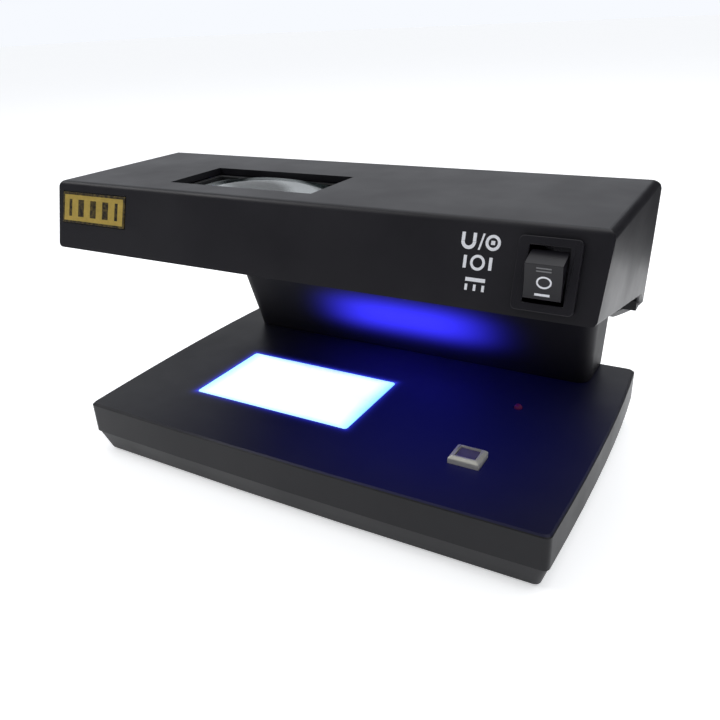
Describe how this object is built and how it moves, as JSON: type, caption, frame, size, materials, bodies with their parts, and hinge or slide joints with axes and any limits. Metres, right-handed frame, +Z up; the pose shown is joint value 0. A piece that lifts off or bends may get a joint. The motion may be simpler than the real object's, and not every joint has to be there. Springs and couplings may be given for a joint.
{
  "type": "counterfeit bill detector",
  "caption": "Desktop counterfeit banknote detector: flat base with a lit window and magnetic reader, rear column, overhanging head with a magnifier, UV lamp and rocker switch.",
  "frame": {"origin": "on the resting surface, under the middle of the base", "axes": "+X to the right as the user sees it, -Y towards the user, +Z up"},
  "size_m": [0.1998, 0.1204, 0.1083],
  "materials": {
    "black_plastic": "finely textured satin black ABS",
    "dark_plastic": "plain black",
    "switch_plastic": "semi-gloss black",
    "foot_rubber": "matt",
    "white_plastic": "plain white",
    "lit_window": "opal, lit from below",
    "lens_glass": "polished",
    "lamp_glass": "dark violet tube, lit",
    "steel": "plated",
    "dark_mirror": "polished dark blue",
    "copper": "enamelled copper",
    "circuit_board": "green board",
    "gold_foil": "plain gold foil",
    "red_led": "clear red",
    "wire_sleeve": "matt"
  },
  "bodies": {
    "detector": {"base_top_shell": "black_plastic", "base_bottom_cover": "black_plastic", "foot_front_left": "foot_rubber", "foot_front_right": "foot_rubber", "foot_rear_left": "foot_rubber", "foot_rear_right": "foot_rubber", "base_screw_1": "steel", "base_screw_2": "steel", "base_screw_3": "steel", "base_screw_4": "steel", "window_diffuser": "lit_window", "light_box": "white_plastic", "backlight_board": "circuit_board", "magnetic_head_case": "steel", "magnetic_head_core": "dark_mirror", "magnetic_head_bracket": "steel", "signal_led": "red_led", "signal_board": "circuit_board", "buzzer": "dark_plastic", "column_body": "black_plastic", "ballast_board": "circuit_board", "ballast_transformer": "copper", "ballast_capacitor": "dark_plastic", "head_body": "black_plastic", "head_bottom_cover": "black_plastic", "head_screw_1": "steel", "head_screw_2": "steel", "head_screw_3": "steel", "head_screw_4": "steel", "lens_frame": "dark_plastic", "magnifier_lens": "lens_glass", "label_plate": "gold_foil", "switch_housing": "switch_plastic", "switch_terminal_1": "copper", "switch_terminal_2": "copper", "switch_terminal_3": "copper", "uv_tube": "lamp_glass", "tube_cap_left": "steel", "tube_cap_right": "steel", "lampholder_left": "white_plastic", "lampholder_right": "white_plastic", "reflector": "steel", "power_inlet": "dark_plastic", "wire_switch": "wire_sleeve", "wire_lamp_left": "wire_sleeve", "wire_lamp_right": "wire_sleeve"},
    "rocker": {"switch_rocker": "switch_plastic"}
  },
  "joints": [
    {"name": "power_rocker", "type": "hinge", "parent": "detector", "child": "rocker", "pos_m": [0.0847, -0.04709, 0.09539], "axis": [-1, 0, 0], "range_deg": [0, 30]}
  ]
}
